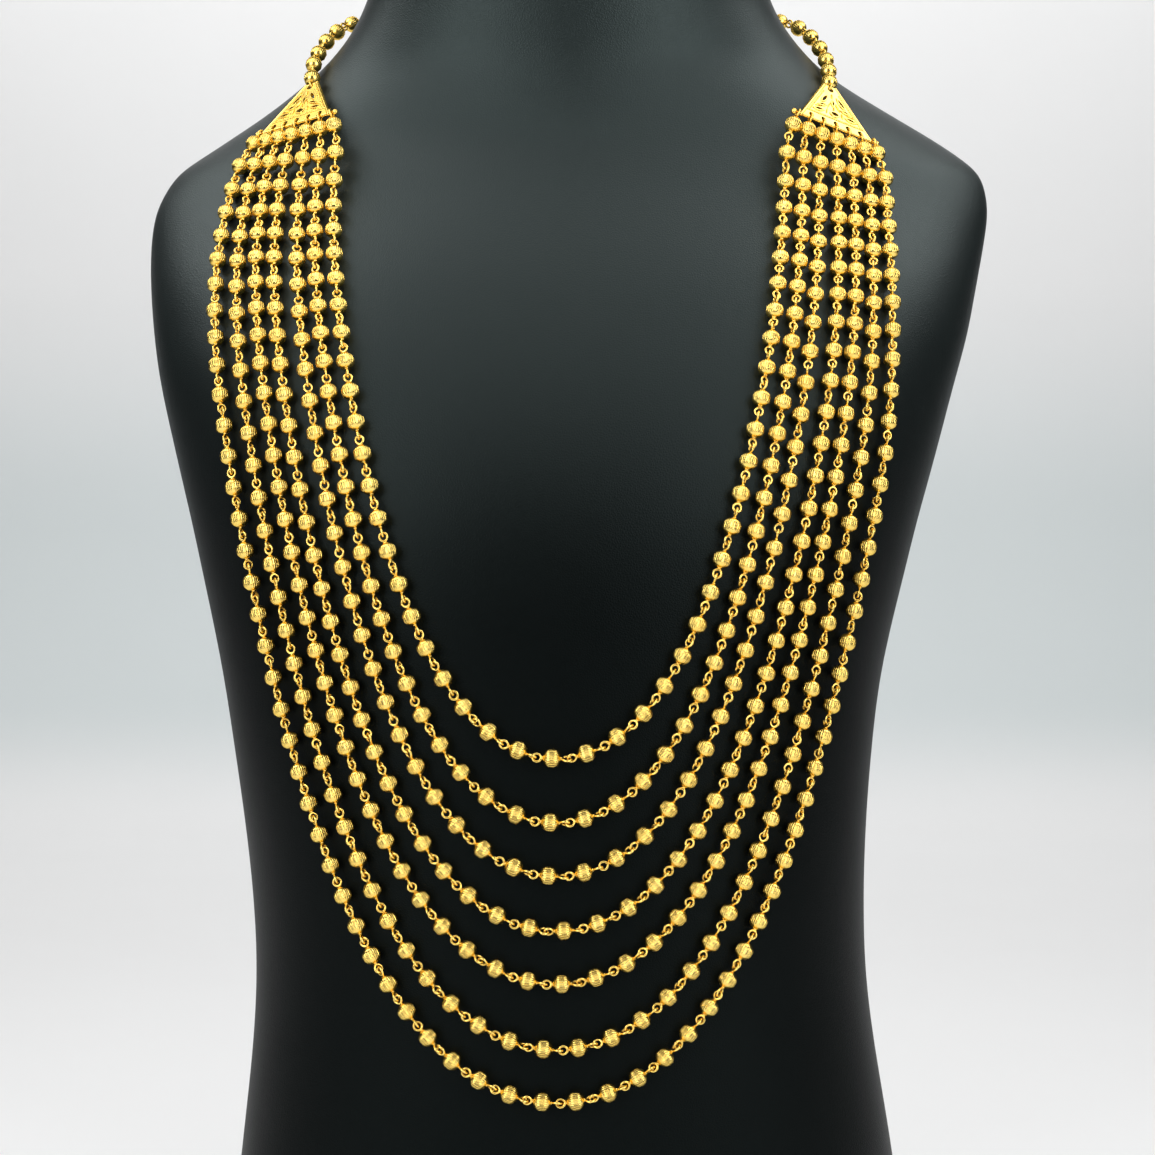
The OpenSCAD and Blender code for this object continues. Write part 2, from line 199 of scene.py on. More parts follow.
def overY(x, z, r):
    # where a ball of radius r touches the front
    gx, gz = frontSlopes(x, z)
    return frontY(x, z) - r * math.sqrt(1 + gx * gx + gz * gz)


def outOfBust(p):
    gx, gz = frontSlopes(p.x, p.z)
    return Vector((gx, -1, gz)).normalized()


def outOfNeck(p):
    return Vector((p.x, p.y - bustSettings["neckY"], 0)).normalized()


plateSettings = {
    # width between the side wires at the foot, height, half the length of the top wire
    "feet": 25.8, "high": 16.8, "topHalf": 2.2,
    # distance between two strands at the plate and where they begin to gather, how far below that is,
    # the strand in the middle, and how far an eye's middle stays from its wire's
    "hangSpace": 4.7, "fanSpace": 5.8, "fanReach": 9, "middleStrand": 4, "wireHold": 0.1,
    "places": {left: (-84.2, -2, 364), right: (80.9, -8, 361.8)},
    "turns": {left: (54, -8, -34), right: (58, 14.5, 28)},
}


def plateMatrix(side):
    turn = Euler([math.radians(a) for a in plateSettings["turns"][side]], "XYZ").to_matrix().to_4x4()
    return Matrix.Translation(plateSettings["places"][side]) @ turn


def plateNormal(side):
    return plateMatrix(side).to_3x3() @ Vector((0, 0, 1))


def hangAt(side, number, space):
    return plateMatrix(side) @ Vector((side * (number - plateSettings["middleStrand"]) * space, 0, 0))


strandSettings = {
    # height of the lowest ball, radius of the curve there, distance between two balls,
    # how late the left and the right half are drawn in towards their plates
    "rows": [
        (174, 25.6, 9.9, 3.8, 2.8),
        (156, 27.5, 9.8, 3.8, 2.6),
        (141, 29.5, 10.05, 3.8, 2.4),
        (125.5, 32.4, 9.75, 3.7, 2.1),
        (110.5, 34.5, 9.7, 3.6, 1.9),
        (92, 36.6, 9.8, 3.3, 1.6),
        (77, 39.6, 9.5, 3, 1.3),
    ],
    # the height above which the halves are drawn in, and how far below the plates they come to lie on the bust
    "middleX": -3.8, "gatherZ": 262, "settle": 45, "steps": 160,
    "ballRadius": 2.45, "clear": 0.15, "eyeReach": 4.3,
    # turns of the joints about the strand, spread evenly, in degrees
    "turnStart": -35, "turnSpread": 75, "turnStep": 0.618,
}


def wideHalf(number, side):
    s = strandSettings
    low, curve, _, lateLeft, lateRight = s["rows"][number - 1]
    top = hangAt(side, number, plateSettings["fanSpace"])
    r = s["ballRadius"] + s["clear"]
    last = math.acosh(1 + (top.z - low) / curve)
    pull = curve * last - abs(top.x - s["middleX"])
    lift = max(overY(top.x, top.z, r) - top.y, 0)
    points = []
    for i in range(s["steps"] + 1):
        t = last * i / s["steps"]
        z = low + curve * (math.cosh(t) - 1)
        drawn = max(0, (z - s["gatherZ"]) / (top.z - s["gatherZ"])) ** (lateLeft if side == left else lateRight)
        x = s["middleX"] + side * (curve * t - pull * drawn)
        rest = max(0, 1 - (top.z - z) / s["settle"])
        points.append(Vector((x, overY(x, z, r) - lift * rest * rest, z)))
    return points


def halfStrand(number, side):
    # the last stretch is gathered at the plate
    points = wideHalf(number, side)
    top = points[-1]
    shift = hangAt(side, number, plateSettings["hangSpace"]) - top
    return [p + shift * max(0, 1 - (top.z - p.z) / plateSettings["fanReach"]) for p in points]


def strandRoute(number):
    return halfStrand(number, left)[:0:-1] + halfStrand(number, right)


stringSettings = {
    "pitch": 9.6,
    # sideways, y, height
    "stops": [
        (80.8, 15.8, 384.2),
        (80.2, 25.5, 390.2),
        (78.3, 34, 395.9),
        (75.5, 42.5, 400.9),
        (70.8, 50.6, 405.2),
        (59.8, 60.6, 409),
        (42.8, 70.2, 411.4),
        (23.5, 75.9, 412.6),
    ],
    "stopSteps": 12,
}
claspSettings = {
    "x": 2.4, "y": 77.6, "z": 413, "length": 16, "width": 5.4,
    "loopRadius": 1.15, "loopWire": 0.7, "loopSides": 24, "loopWireSides": 10,
}


def stringRoute(side):
    tip = plateMatrix(side) @ Vector((0, plateSettings["high"], 0))
    reach = claspSettings["length"] / 2 + claspSettings["loopRadius"]
    stops = [tip] + [Vector((side * x, y, z)) for x, y, z in stringSettings["stops"]]
    stops.append(Vector((claspSettings["x"] + side * reach, claspSettings["y"], claspSettings["z"])))
    points = []
    for i in range(len(stops) - 1):
        a, b, c, d = stops[max(i - 1, 0)], stops[i], stops[i + 1], stops[min(i + 2, len(stops) - 1)]
        for j in range(stringSettings["stopSteps"]):
            points.append(eased(b, c, (c - a) / 2, (d - b) / 2, j / stringSettings["stopSteps"]))
    return points + [stops[-1]]


def lengthsOf(route):
    lengths = [0.0]
    for a, b in zip(route, route[1:]):
        lengths.append(lengths[-1] + (b - a).length)
    return lengths


def along(route, lengths, at):
    i = min(max(bisect.bisect_right(lengths, at) - 1, 0), len(route) - 2)
    t = min(max((at - lengths[i]) / (lengths[i + 1] - lengths[i]), 0), 1)
    return route[i].lerp(route[i + 1], t)


def heldEye(held, normal, far, gap):
    v = far - held
    return held + (v - normal * v.dot(normal)).normalized() * gap


def hangingBall(route, normal, gap):
    # the ball whose eye goes round the wire at the route's start: its place, direction and far eye
    reach = strandSettings["eyeReach"]
    lengths = lengthsOf(route)
    near = gap + 2 * reach
    p = along(route, lengths, near)
    farAt = near + 2 * reach - (p - heldEye(route[0], normal, p, gap)).length
    far = along(route, lengths, farAt)
    eye = heldEye(route[0], normal, far, gap)
    ahead = (far - eye).normalized()
    return eye + ahead * reach, ahead, farAt


def eyeAcross(route, lengths, at, outward, turn):
    ahead = (along(route, lengths, at + 1) - along(route, lengths, at - 1)).normalized()
    out = outward(along(route, lengths, at))
    out = (out - ahead * out.dot(ahead)).normalized()
    return out * math.cos(math.radians(turn)) + ahead.cross(out) * math.sin(math.radians(turn))


def jointTurn(j):
    s = strandSettings
    return s["turnSpread"] * (j * s["turnStep"] % 1) + s["turnStart"]


def ballsOn(route, pitch, holds, outward, normals):
    # each is place, direction, and the directions across in which its two eyes lie
    reach = strandSettings["eyeReach"]
    lengths = lengthsOf(route)
    headPlace, headAhead, headFar = hangingBall(route, normals[0], holds[0])
    tailPlace, tailAhead, tailFar = hangingBall(route[::-1], normals[1], holds[1])
    first = headFar - reach
    span = lengths[-1] - tailFar + reach - first
    last = round(span / pitch)
    step = span / last
    found = []
    for i in range(last + 1):
        at = first + step * i
        place = along(route, lengths, at)
        ahead = (along(route, lengths, at + reach) - along(route, lengths, at - reach)).normalized()
        # two eyes that hang in each other stand across
        before = eyeAcross(route, lengths, at - step / 2, outward, jointTurn(i) + 90)
        after = eyeAcross(route, lengths, at + step / 2, outward, jointTurn(i + 1))
        if i == 0:
            place, ahead, before = headPlace, headAhead, normals[0]
        if i == last:
            place, ahead, after = tailPlace, -tailAhead, normals[1]
        found.append((place, ahead, before, after))
    return found


def placeMatrix(place, ahead, across):
    # x runs ahead, y lies across, in metres
    across = (across - ahead * across.dot(ahead)).normalized()
    turn = Matrix((ahead, across, ahead.cross(across))).transposed().to_4x4()
    return Matrix.Translation(place * mm) @ turn


# Materials

def newMaterial(name):
    material = bpy.data.materials.new(name)
    material.use_nodes = True
    tree = material.node_tree
    return material, tree.nodes, tree.links, tree.nodes["Principled BSDF"]


def addNode(nodes, kind, operation=None, **values):
    # values are for inputs, with _ for the spaces in their names
    node = nodes.new("ShaderNode" + kind)
    if operation:
        node.operation = operation
    for name, value in values.items():
        node.inputs[name.replace("_", " ")].default_value = value
    return node


def addRange(nodes, source, target, soft=False):
    node = addNode(nodes, "MapRange", From_Min=source[0], From_Max=source[1], To_Min=target[0], To_Max=target[1])
    if soft:
        node.interpolation_type = "SMOOTHSTEP"
    return node


def addTones(nodes, first, second):
    mix = nodes.new("ShaderNodeMix")
    mix.data_type = "RGBA"
    mix.inputs["A"].default_value = first
    mix.inputs["B"].default_value = second
    return mix


wearSettings = {"patchScale": 180.0, "scratchScale": 900.0, "scratchStretch": (1.0, 1.0, 0.18)}


def makeWearGroup():
    # patches of wear and fine scratches, as values over the surface
    s = wearSettings
    group = bpy.data.node_groups.new("fineWear", "ShaderNodeTree")
    group.interface.new_socket("Vector", in_out="INPUT", socket_type="NodeSocketVector")
    for name, start in (("Patch Scale", s["patchScale"]), ("Scratch Scale", s["scratchScale"])):
        group.interface.new_socket(name, in_out="INPUT", socket_type="NodeSocketFloat").default_value = start
    for name in ("Patches", "Scratches"):
        group.interface.new_socket(name, in_out="OUTPUT", socket_type="NodeSocketFloat")
    nodes, links = group.nodes, group.links
    given, result = nodes.new("NodeGroupInput"), nodes.new("NodeGroupOutput")
    patch = addNode(nodes, "TexNoise", Detail=3.0, Roughness=0.6)
    stretch = addNode(nodes, "Mapping", Scale=s["scratchStretch"])
    scratch = addNode(nodes, "TexNoise", Detail=2.0, Roughness=0.7)
    links.new(given.outputs["Vector"], patch.inputs["Vector"])
    links.new(given.outputs["Patch Scale"], patch.inputs["Scale"])
    links.new(given.outputs["Vector"], stretch.inputs["Vector"])
    links.new(stretch.outputs["Vector"], scratch.inputs["Vector"])
    links.new(given.outputs["Scratch Scale"], scratch.inputs["Scale"])
    links.new(patch.outputs["Fac"], result.inputs["Patches"])
    links.new(scratch.outputs["Fac"], result.inputs["Scratches"])
    return group


wearGroup = makeWearGroup()


def addWear(nodes, links, where):
    wear = nodes.new("ShaderNodeGroup")
    wear.node_tree = wearGroup
    links.new(where.outputs["Object"], wear.inputs["Vector"])
    return wear


goldSettings = {
    "bright": (1.0, 0.76, 0.23, 1), "deep": (0.96, 0.63, 0.12, 1), "edge": (1.0, 0.8, 0.4, 1),
    "rough": (0.2, 0.3), "patches": (0.3, 0.7),
    "scratchHeight": 0.000012, "scratchStrength": 0.5,
    # pleats of a ball: how many, how high, and where between its end (0) and its middle (0.5) they fade in
    "pleats": 24, "pleatHeight": 0.00007, "pleatBand": (0.24, 0.4),
}


def addPleats(nodes, links, surface, scratches):
    # fine pleats beside the groove round the middle of a ball, on the ball's own unwrap
    s = goldSettings
    uv = nodes.new("ShaderNodeUVMap")
    uv.uv_map = "UVMap"
    split = nodes.new("ShaderNodeSeparateXYZ")
    links.new(uv.outputs["UV"], split.inputs["Vector"])
    turns = addNode(nodes, "Math", "MULTIPLY")
    turns.inputs[1].default_value = s["pleats"] * 2 * math.pi
    links.new(split.outputs["X"], turns.inputs[0])
    wave = addNode(nodes, "Math", "SINE")
    links.new(turns.outputs["Value"], wave.inputs[0])
    fromEnd = addNode(nodes, "Math", "PINGPONG")
    fromEnd.inputs[1].default_value = 0.5
    links.new(split.outputs["Y"], fromEnd.inputs[0])
    band = addRange(nodes, s["pleatBand"], (0, 1), soft=True)
    links.new(fromEnd.outputs["Value"], band.inputs["Value"])
    height = addNode(nodes, "Math", "MULTIPLY")
    links.new(wave.outputs["Value"], height.inputs[0])
    links.new(band.outputs["Result"], height.inputs[1])
    pleats = addNode(nodes, "Bump", Strength=1.0, Distance=s["pleatHeight"])
    links.new(height.outputs["Value"], pleats.inputs["Height"])
    links.new(scratches.outputs["Normal"], pleats.inputs["Normal"])
    links.new(pleats.outputs["Normal"], surface.inputs["Normal"])


def makeGold(name, pleated=False):
    s = goldSettings
    material, nodes, links, surface = newMaterial(name)
    surface.inputs["Metallic"].default_value = 1.0
    surface.inputs["Specular Tint"].default_value = s["edge"]
    where = nodes.new("ShaderNodeTexCoord")
    wear = addWear(nodes, links, where)
    tone = addTones(nodes, s["bright"], s["deep"])
    links.new(wear.outputs["Patches"], tone.inputs["Factor"])
    links.new(tone.outputs["Result"], surface.inputs["Base Color"])
    rough = addRange(nodes, s["patches"], s["rough"])
    links.new(wear.outputs["Patches"], rough.inputs["Value"])
    links.new(rough.outputs["Result"], surface.inputs["Roughness"])
    scratches = addNode(nodes, "Bump", Strength=s["scratchStrength"], Distance=s["scratchHeight"])
    links.new(wear.outputs["Scratches"], scratches.inputs["Height"])
    links.new(scratches.outputs["Normal"], surface.inputs["Normal"])
    if pleated:
        addPleats(nodes, links, surface, scratches)
    return material


leatherSettings = {
    "colour": (0.0042, 0.0062, 0.0061, 1), "worn": (0.0076, 0.0102, 0.0104, 1), "patchScale": 14.0,
    "rough": (0.4, 0.48), "shine": 0.38, "tint": (0.78, 1.0, 0.98, 1),
    # below the shoulders painted shade makes the leather darker and less shiny: between which heights in metres,
    # and what is left of its colour and shine
    "paintedShadeHeights": (0.205, 0.345), "paintedShadeShare": 0.2,
    # pebbles of the grain, how far they are bent out of line, and the finer pores between them
    "grain": 1300.0, "grainHeight": 0.00005, "grainStrength": 0.6, "pebbleEdge": 0.3,
    "bendScale": 160.0, "bend": 0.0012, "poreScale": 2600.0, "poreShare": 0.35,
}


def makeLeather():
    s = leatherSettings
    material, nodes, links, surface = newMaterial("bustLeather")
    where = nodes.new("ShaderNodeTexCoord")
    wear = addWear(nodes, links, where)
    wear.inputs["Patch Scale"].default_value = s["patchScale"]
    tone = addTones(nodes, s["colour"], s["worn"])
    links.new(wear.outputs["Patches"], tone.inputs["Factor"])
    split = nodes.new("ShaderNodeSeparateXYZ")
    links.new(where.outputs["Object"], split.inputs["Vector"])
    # painted shade: the leather's colour and shine are scaled down towards the bottom of the bust
    paintedShadeFactor = addRange(nodes, s["paintedShadeHeights"], (s["paintedShadeShare"], 1), soft=True)
    links.new(split.outputs["Z"], paintedShadeFactor.inputs["Value"])
    dark = addNode(nodes, "VectorMath", "SCALE")
    links.new(tone.outputs["Result"], dark.inputs[0])
    links.new(paintedShadeFactor.outputs["Result"], dark.inputs["Scale"])
    links.new(dark.outputs["Vector"], surface.inputs["Base Color"])
    shine = addNode(nodes, "Math", "MULTIPLY")
    shine.inputs[1].default_value = s["shine"]
    links.new(paintedShadeFactor.outputs["Result"], shine.inputs[0])
    links.new(shine.outputs["Value"], surface.inputs["Specular IOR Level"])
    surface.inputs["Specular Tint"].default_value = s["tint"]
    rough = addRange(nodes, (0, 1), s["rough"])
    links.new(wear.outputs["Patches"], rough.inputs["Value"])
    links.new(rough.outputs["Result"], surface.inputs["Roughness"])
    bend = addNode(nodes, "TexNoise", Scale=s["bendScale"], Detail=2.0)
    shift = addNode(nodes, "VectorMath", "MULTIPLY_ADD")
    shift.inputs[1].default_value = (s["bend"], s["bend"], s["bend"])
    links.new(where.outputs["Object"], bend.inputs["Vector"])
    links.new(bend.outputs["Color"], shift.inputs[0])
    links.new(where.outputs["Object"], shift.inputs[2])
    pebbles = nodes.new("ShaderNodeTexVoronoi")
    pebbles.feature = "DISTANCE_TO_EDGE"
    pebbles.inputs["Scale"].default_value = s["grain"]
    links.new(shift.outputs["Vector"], pebbles.inputs["Vector"])
    rounded = addRange(nodes, (0, s["pebbleEdge"]), (0, 1), soft=True)
    links.new(pebbles.outputs["Distance"], rounded.inputs["Value"])
    pores = addNode(nodes, "TexNoise", Scale=s["poreScale"], Detail=2.0)
    links.new(where.outputs["Object"], pores.inputs["Vector"])
    height = addNode(nodes, "Math", "MULTIPLY_ADD")
    height.inputs[1].default_value = s["poreShare"]
    links.new(pores.outputs["Fac"], height.inputs[0])
    links.new(rounded.outputs["Result"], height.inputs[2])
    grain = addNode(nodes, "Bump", Strength=s["grainStrength"], Distance=s["grainHeight"])
    links.new(height.outputs["Value"], grain.inputs["Height"])
    links.new(grain.outputs["Normal"], surface.inputs["Normal"])
    return material


ballGold = makeGold("ballGold", pleated=True)
wireGold = makeGold("wireGold")
plateGold = makeGold("plateGold")
bustLeather = makeLeather()
print("materials made")


# One ball and one wire eye, modelled once

ballSettings = {
    "radius": 2.66, "sides": 24, "rings": 16, "flat": 0.97, "smoothBelow": 50,
    # how far the middle and its folds are drawn in, and how high the rims beside it still stand
    "groove": 0.95, "notch": 0.965, "rimHeight": 0.78,
    # how far the folds are drawn in, row by row away from the middle
    "folds": (0.958, 0.97, 0.983, 0.994),
}


def makeBall():
    # two domes whose folded rims meet in a groove
    s = ballSettings
    r = s["radius"] * mm
    bpy.ops.object.select_all(action="DESELECT")
    bpy.ops.mesh.primitive_uv_sphere_add(segments=s["sides"], ring_count=s["rings"], radius=r)
    ball = bpy.context.object
    ball.name = "ballModel"

    def row(co):
        return round(abs(math.asin(max(-1, min(1, co.z / r)))) / math.pi * s["rings"])

    def folded(co):
        return round((math.atan2(co.y, co.x) % (2 * math.pi)) / (2 * math.pi) * s["sides"]) % 2 == 1

    for number, share in enumerate(s["folds"], start=1):
        resizeWhere(ball, lambda co: row(co) == number and folded(co), (share, share, 1))
    resizeWhere(ball, lambda co: row(co) == 0, (s["groove"], s["groove"], 1))
    resizeWhere(ball, lambda co: row(co) == 0 and folded(co), (s["notch"], s["notch"], 1))
    resizeWhere(ball, lambda co: row(co) == 1, (1, 1, s["rimHeight"]))
    resizeWhere(ball, everywhere, (1, 1, s["flat"]))
    ball.data.materials.append(ballGold)
    smooth(ball, s["smoothBelow"])
    # the strand runs along x
    ball.rotation_euler = (0, math.radians(90), 0)
    applyPlace(ball)
    return ball


eyeSettings = {
    "radius": 1.15, "wire": 0.7, "sides": 16, "wireSides": 8,
    # the side by the ball is drawn out and pinched, which gives the drop shape
    "stretchFrom": -0.01, "stretch": 1.14, "pinchFrom": -0.7, "pinch": 0.93,
    "collarStart": 2.1, "collarStop": 2.75, "collarWide": 0.85, "collarSlim": 0.5, "collarSides": 10,
    "smoothBelow": 45,
}


def makeEye():
    s = eyeSettings
    bpy.ops.object.select_all(action="DESELECT")
    eye = addRing(s["radius"], s["wire"], s["sides"], s["wireSides"])
    eye.name = "eyeModel"
    resizeWhere(eye, lambda co: co.x < s["stretchFrom"] * mm, (s["stretch"], 1, 1))
    resizeWhere(eye, lambda co: co.x < s["pinchFrom"] * mm, (1, s["pinch"], 1))
    eye.location = (strandSettings["eyeReach"] * mm, 0, 0)
    applyPlace(eye)
    start, stop = s["collarStart"], s["collarStop"]
    bpy.ops.mesh.primitive_cone_add(vertices=s["collarSides"], radius1=s["collarWide"] * mm,
                                    radius2=s["collarSlim"] * mm, depth=(stop - start) * mm,
                                    location=((start + stop) / 2 * mm, 0, 0), rotation=(0, math.radians(90), 0))
    collar = bpy.context.object
    smooth(collar, s["smoothBelow"])
    smooth(eye)
    eye = joined("eyeModel", [eye, collar])
    eye.data.materials.append(wireGold)
    return eye


ballModel = makeBall()
eyeModel = makeEye()
print("one ball and one eye modelled")


def makeString(name, balls):
    parts = []
    for place, ahead, before, after in balls:
        spin = Matrix.Rotation(random.uniform(0, 2 * math.pi), 4, "X")
        parts.append(copyAt(ballModel, placeMatrix(place, ahead, before) @ spin))
        parts.append(copyAt(eyeModel, placeMatrix(place, -ahead, before)))
        parts.append(copyAt(eyeModel, placeMatrix(place, ahead, after)))
    piece = joined(name, parts)
    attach(piece, "root")
    return piece


wireHold = plateSettings["wireHold"]
for number, (_, _, pitch, _, _) in enumerate(strandSettings["rows"], start=1):
    found = ballsOn(strandRoute(number), pitch, (wireHold, wireHold), outOfBust,
                    (plateNormal(left), plateNormal(right)))
    strand = makeString("goldStrand%d" % number, found)
    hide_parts("strand_%d" % number)
    print("strand", number, len(found), "balls")

loopHold = stringSettings["pitch"] - 2 * strandSettings["eyeReach"]
for side, word in ((left, "left"), (right, "right")):
    found = ballsOn(stringRoute(side), stringSettings["pitch"], (wireHold, loopHold), outOfNeck,
                    (plateNormal(side), Vector((0, 0, 1))))
    backString = makeString("goldBackString_" + word, found)
    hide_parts("back_string_" + word)
    print("back string", word, len(found), "balls")

for model in (ballModel, eyeModel):
    bpy.data.objects.remove(model)

# The bust's skin is a smooth copy of the solid

skinSettings = {"levels": 2, "mergeWithin": 0.00001, "quadAngle": 60}


def makeSkin():
    s = skinSettings
    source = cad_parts["neck_bust"]
    skin = source.copy()
    skin.data = source.data.copy()
    bpy.context.collection.objects.link(skin)
    skin.parent = None
    skin.matrix_world = Matrix.Identity(4)
    skin.name = "bustSkin"
    pickOnly(skin)
    bpy.ops.object.mode_set(mode="EDIT")
    bpy.ops.mesh.select_all(action="SELECT")
    bpy.ops.mesh.remove_doubles(threshold=s["mergeWithin"])
    quadAngle = math.radians(s["quadAngle"])
    bpy.ops.mesh.tris_convert_to_quads(face_threshold=quadAngle, shape_threshold=quadAngle)
    bpy.ops.object.mode_set(mode="OBJECT")
    finer = skin.modifiers.new("finer", "SUBSURF")
    finer.levels = finer.render_levels = s["levels"]
    bpy.ops.object.modifier_apply(modifier=finer.name)
    smooth(skin)
    paint(skin, bustLeather)
    return skin


bustSkin = makeSkin()
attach(bustSkin, "root")
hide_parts("neck_bust")
print("bust skin made")

for name in ("end_plate_left", "end_plate_right"):
    paint(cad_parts[name], plateGold)

# Granules, leaf rims and veins on the plates, in the plate's own millimetres

trimSettings = {
    "granule": 0.3, "granuleStep": 0.66, "granuleSides": 10, "granuleRings": 6, "faceZ": 0.45,
    # the line of granules on the wire above the holes, and how far it stops before the feet
    "rowY": 3, "rowZ": 0.5, "rowShort": 2.6,
    # lines of granules beside the side wires: how far in, how steep, and where they start and stop
    "inset": 0.95, "steep": 0.84, "from": 0.19, "to": 0.83,
    # distance beside the middle, height, lean towards it, length and width of each leaf gap
    "gaps": [
        (0, 5, 90, 3, 1.7),
        (0, 9.6, 0, 2.6, 0.8),
        (6, 4.9, 84, 3.6, 1),
        (4.3, 7.5, 78, 3, 0.7),
        (3.1, 10.5, 36, 4.2, 1.1),
    ],
    # the wire round a gap: how far it lies outside, how tall it is, and from which share of its
    # half length on it is drawn in, and how far
    "rimWire": 0.34, "rimSides": 20, "rimWireSides": 6, "rimOut": 0.25, "rimTall": 1.5,
    "rimPoint": ((0.45, 0.86), (0.8, 0.62)),
    # the same five values for each raised vein
    "veins": [
        (0, 7.1, 0, 1.7, 0.55),
        (0, 12.7, 0, 2, 0.6),
        (1.6, 8.4, 28, 3.4, 0.5),
        (2.85, 5.4, 12, 2.2, 0.5),
        (5.9, 6.35, 80, 2.8, 0.45),
    ],
    "veinHeight": 0.5, "veinSides": 12, "veinRings": 8,
}


def makeGranule():
    s = trimSettings
    bpy.ops.object.select_all(action="DESELECT")
    bpy.ops.mesh.primitive_uv_sphere_add(segments=s["granuleSides"], ring_count=s["granuleRings"],
                                         radius=s["granule"] * mm)
    granule = bpy.context.object
    granule.name = "granuleModel"
    smooth(granule)
    return granule


def addRim(length, width):
    # a wire ring drawn out to the outline of a leaf
    s = trimSettings
    halfWidth, halfLength = width / 2 + s["rimOut"], length / 2 + s["rimOut"]
    rim = addRing(1, s["rimWire"], s["rimSides"], s["rimWireSides"])
    resizeWhere(rim, everywhere, (halfWidth, halfLength, s["rimTall"]))
    for reached, share in s["rimPoint"]:
        resizeWhere(rim, lambda co: abs(co.y) > reached * halfLength * mm, (share, 1, 1))
    return rim


def addVein(length, width):
    s = trimSettings
    bpy.ops.mesh.primitive_uv_sphere_add(segments=s["veinSides"], ring_count=s["veinRings"], radius=mm,
                                         location=(0, 0, 0))
    vein = bpy.context.object
    resizeWhere(vein, everywhere, (width / 2, length / 2, s["veinHeight"]))
    return vein


def makeTrim(side, word, granule):
    s, plate = trimSettings, plateSettings
    onPlate = Matrix.Translation(Vector(plate["places"][side]) * mm) @ plateMatrix(side).to_3x3().to_4x4()
    parts = []

    def granuleRow(start, stop, z):
        count = round((stop - start).length / s["granuleStep"])
        for i in range(count + 1):
            spot = start.lerp(stop, i / count)
            parts.append(copyAt(granule, onPlate @ Matrix.Translation(Vector((spot.x, spot.y, z)) * mm)))

    def onBothSides(rows, addPiece):
        # one piece for each row of a table, on both sides of the middle unless it is in the middle
        for beside, up, lean, length, width in rows:
            for way in ((1,) if beside == 0 else (-1, 1)):
                spot = Vector((way * beside, up, s["faceZ"])) * mm
                turn = Matrix.Rotation(way * math.radians(lean), 4, "Z")
                piece = addPiece(length, width)
                smooth(piece)
                piece.matrix_world = onPlate @ Matrix.Translation(spot) @ turn
                parts.append(piece)

    inward = s["inset"] / s["steep"]
    for way in (-1, 1):
        foot = Vector((way * (plate["feet"] / 2 - inward), 0))
        head = Vector((way * (plate["topHalf"] - inward), plate["high"]))
        granuleRow(foot.lerp(head, s["from"]), foot.lerp(head, s["to"]), s["faceZ"])
    reach = plate["feet"] / 2 - s["rowShort"]
    granuleRow(Vector((-reach, s["rowY"])), Vector((reach, s["rowY"])), s["rowZ"])
    onBothSides(s["gaps"], addRim)
    onBothSides(s["veins"], addVein)
    trim = joined("plateTrim_" + word, parts)
    paint(trim, plateGold)
    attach(trim, "root")


granuleModel = makeGranule()
makeTrim(left, "left", granuleModel)
makeTrim(right, "right", granuleModel)
bpy.data.objects.remove(granuleModel)
print("plate trim made")

# The clasp: a barrel with drawn-in ends, collars and a ring at each end

barrelSettings = {
    "sides": 32, "smoothBelow": 35, "sameWithin": 0.00001,
    # distance from the middle and width of each step, as shares of the barrel's length and width
    "steps": [
        (-0.5, 0.45), (-0.47, 0.66), (-0.4, 0.7), (-0.385, 0.9), (-0.36, 1), (-0.33, 0.9), (-0.3, 0.84),
        (0, 0.98), (0.02, 0.9), (0.04, 0.98),
        (0.3, 0.84), (0.33, 0.9), (0.36, 1), (0.385, 0.9), (0.4, 0.7), (0.47, 0.66), (0.5, 0.45),
    ],
}


def makeClasp():
    c, s = claspSettings, barrelSettings
    bpy.ops.object.select_all(action="DESELECT")
    bpy.ops.mesh.primitive_cylinder_add(vertices=s["sides"], radius=c["width"] / 2 * mm, depth=c["length"] * mm)
    barrel = bpy.context.object
    for place, _ in s["steps"][1:-1]:
        selectVertices(barrel, everywhere)
        bpy.ops.mesh.bisect(plane_co=(0, 0, place * c["length"] * mm), plane_no=(0, 0, 1))
        bpy.ops.object.mode_set(mode="OBJECT")
    for place, wide in s["steps"]:
        resizeWhere(barrel, lambda co: abs(co.z - place * c["length"] * mm) < s["sameWithin"], (wide, wide, 1))
    smooth(barrel, s["smoothBelow"])
    barrel.rotation_euler = (0, math.radians(90), 0)
    barrel.location = Vector((c["x"], c["y"], c["z"])) * mm
    parts = [barrel]
    for side in (left, right):
        loop = addRing(c["loopRadius"], c["loopWire"], c["loopSides"], c["loopWireSides"])
        smooth(loop)
        loop.location = Vector((c["x"] + side * (c["length"] / 2 + c["loopRadius"]), c["y"], c["z"])) * mm
        parts.append(loop)
    clasp = joined("barrelClasp", parts)
    paint(clasp, plateGold)
    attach(clasp, "root")
    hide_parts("clasp")


makeClasp()
print("clasp made")

# A pale seamless backdrop, which isn't part of the object, in metres

stageSettings = {
    "width": 2.8, "front": -0.7, "back": 2.0, "rise": 2.4, "curve": 0.5, "curveSteps": 16, "edgeWithin": 0.01,
    "grey": 0.88, "greySpread": 0.01, "grainScale": 6.0, "rough": 0.9,
    # height and colour of each step of the painted shade where the floor turns up into the wall
    "shades": [
        (0, (0.96, 0.96, 0.96, 1)),
        (0.11, (0.745, 0.795, 0.8, 1)),
        (0.27, (0.745, 0.795, 0.8, 1)),
        (0.55, (1, 1, 1, 1)),
    ],
}


